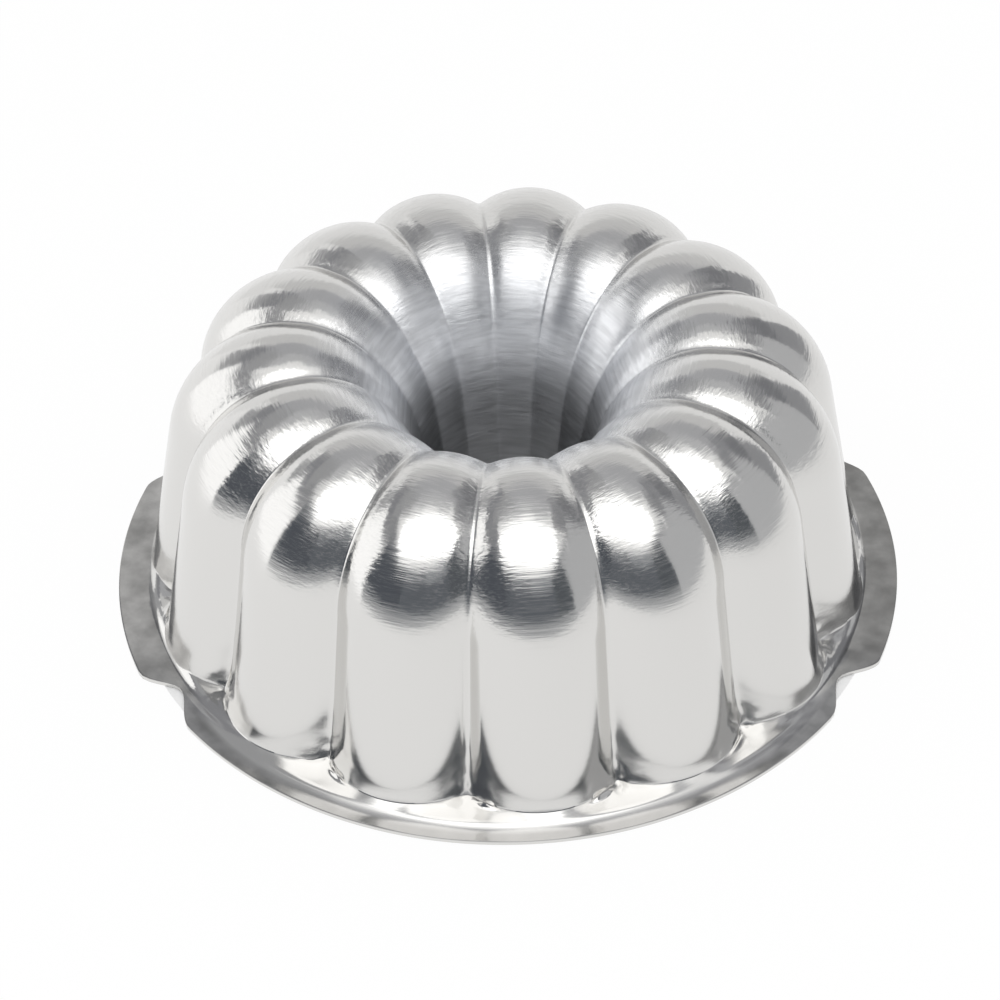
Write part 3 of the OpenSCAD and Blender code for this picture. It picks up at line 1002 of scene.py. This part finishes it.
class MOULD_OT_studio(bpy.types.Operator):
    """Set up the floor, the lights, the surroundings and the camera"""

    bl_idname = "mould.studio"
    bl_label = "Studio"

    def execute(self, context):
        settings = context.scene.mould_studio
        scene = context.scene
        scene.view_settings.view_transform = "Standard"
        floor = rectangle("studio_floor", FLOOR_SIZE, FLOOR_SIZE, studio_floor(settings))
        floor.location.z = -FLOOR_GAP

        world = bpy.data.worlds.new("studio_surroundings")
        world.use_nodes = True
        tree = world.node_tree
        tree.nodes.clear()
        _, seen = seen_directly_or_mirrored(tree)
        strength = add(tree, RANGE, {0: seen, 3: settings.fill, 4: 1.0})
        sky = add(tree, "ShaderNodeBackground", {"Color": (1, 1, 1, 1), "Strength": strength})
        add(tree, "ShaderNodeOutputWorld", {"Surface": sky})
        scene.world = world

        for name, turns, tilts, grey, strength in CARDS:
            card = curved_card(name, turns, tilts, glowing(name, grey, strength))
            for ray in ("camera", "diffuse", "shadow", "transmission", "volume_scatter"):
                setattr(card, f"visible_{ray}", False)

        softbox = round_panel("softbox", glowing("softbox", "ffffff", settings.softbox))
        softbox.location = SOFTBOX_AT
        face_to(softbox, SOFTBOX_TARGET)
        softbox.rotation_quaternion @= Quaternion((0, 0, 1), SOFTBOX_ROLL)
        softbox.visible_camera = False

        camera = bpy.data.objects.new("camera", bpy.data.cameras.new("camera"))
        scene.collection.objects.link(camera)
        camera.data.lens = CAMERA_LENS
        camera.location = CAMERA_AT
        face_to(camera, CAMERA_TARGET)
        camera.rotation_quaternion @= Quaternion((0, 0, 1), CAMERA_ROLL)
        scene.camera = camera
        return {"FINISHED"}


# The camera's place, what it looks at, its roll and its lens in millimetres
CAMERA_AT = (0, -0.6705, 0.6355)
CAMERA_TARGET = (-0.00207, 0, 0.02362)
CAMERA_ROLL = math.radians(-1.12)
CAMERA_LENS = 101.64

# The softbox is a rectangle with rounded corners, drawn as a superellipse of this power
SOFTBOX_AT = (0, -0.167, 0.470)
SOFTBOX_TARGET = (0, 0, 0.08)
SOFTBOX_ROLL = math.radians(-4.5)
SOFTBOX_HALF = (0.280, 0.155)
SOFTBOX_POWER = 2.7
SOFTBOX_POINTS = 64

# The cards stand on a sphere of this radius, round a point at this height. They have a line of
# points about every so many degrees, and so many points up each line.
ROOM_R = 1.1
ROOM_Z = 0.06
CARD_STEP = 4
CARD_ROWS = 12

# Cards that the metal reflects: name, turns from the front, heights, grey and strength
CARDS = (
    ("front_low_card", (-76, 53), (-3, 7), "b0b2b4", 1.0),
    ("front_left_card", (-76, -28), (7, 44), "555960", 1.0),
    ("front_card", (-28, 32), (7, 33), "63676d", 1.0),
    ("front_top_left", (-28, 2), (33, 44), "7e8186", 1.0),
    ("front_top_right", (2, 32), (33, 44), "979a9e", 1.0),
    ("front_right_card", (32, 53), (7, 44), "5a5e63", 1.0),
    ("front_left_corner", (-80, -48), (44, 54), "888a8e", 1.0),
    ("front_right_corner", (40, 80), (44, 50), "888a8e", 1.0),
    ("right_card", (53, 112), (-3, 46), "c0c1c3", 1.0),
    ("right_top", (88, 118), (46, 62), "949598", 1.0),
    ("right_edge_low", (112, 136), (-3, 27), "98999c", 1.0),
    ("right_edge_high", (112, 142), (27, 56), "808185", 1.0),
    ("left_window", (-122, -78), (-6, 40), "ffffff", 1.3),
    ("left_band_low", (-150, -106), (34, 48), "8e8f93", 1.0),
    ("left_band_high", (-150, -106), (48, 68), "a6a7a9", 1.0),
    ("left_band_end", (-106, -80), (40, 57), "959699", 1.0),
    ("left_post", (-142, -122), (20, 34), "a8a9ab", 1.0),
    ("rear_band", (118, 210), (44, 66), "b4b5b8", 1.0),
    ("rear_top", (110, 250), (66, 80), "c4c5c7", 1.0),
    ("rear_middle", (142, 210), (22, 44), "d4d4d4", 1.0),
    ("rear_low", (136, 218), (-3, 22), "f2f2f2", 1.0),
)


class MOULD_PT_panel(bpy.types.Panel):
    """The mould's pieces and its studio"""

    bl_label = "Ring Mould"
    bl_idname = "MOULD_PT_panel"
    bl_space_type = "VIEW_3D"
    bl_region_type = "UI"
    bl_category = "Mould"

    def draw(self, context):
        for title, settings, operator in (
            ("Sheet", context.scene.mould_sheet, MOULD_OT_pressed_sheet),
            ("Finish", context.scene.mould_finish, None),
            ("Studio", context.scene.mould_studio, MOULD_OT_studio),
        ):
            box = self.layout.box()
            box.label(text=title)
            for name in settings.bl_rna.properties.keys():
                if name not in ("rna_type", "name"):
                    box.prop(settings, name)
            if operator:
                box.operator(operator.bl_idname)


CLASSES = (
    SheetSizes,
    Finish,
    Studio,
    MOULD_OT_pressed_sheet,
    MOULD_OT_studio,
    MOULD_PT_panel,
)


def register():
    for cls in CLASSES:
        bpy.utils.register_class(cls)
    bpy.types.Scene.mould_sheet = bpy.props.PointerProperty(type=SheetSizes)
    bpy.types.Scene.mould_finish = bpy.props.PointerProperty(type=Finish)
    bpy.types.Scene.mould_studio = bpy.props.PointerProperty(type=Studio)


def unregister():
    del bpy.types.Scene.mould_studio
    del bpy.types.Scene.mould_finish
    del bpy.types.Scene.mould_sheet
    for cls in reversed(CLASSES):
        bpy.utils.unregister_class(cls)


def main():
    register()
    bpy.ops.mould.pressed_sheet()
    bpy.ops.mould.studio()


if __name__ == "__main__":
    main()
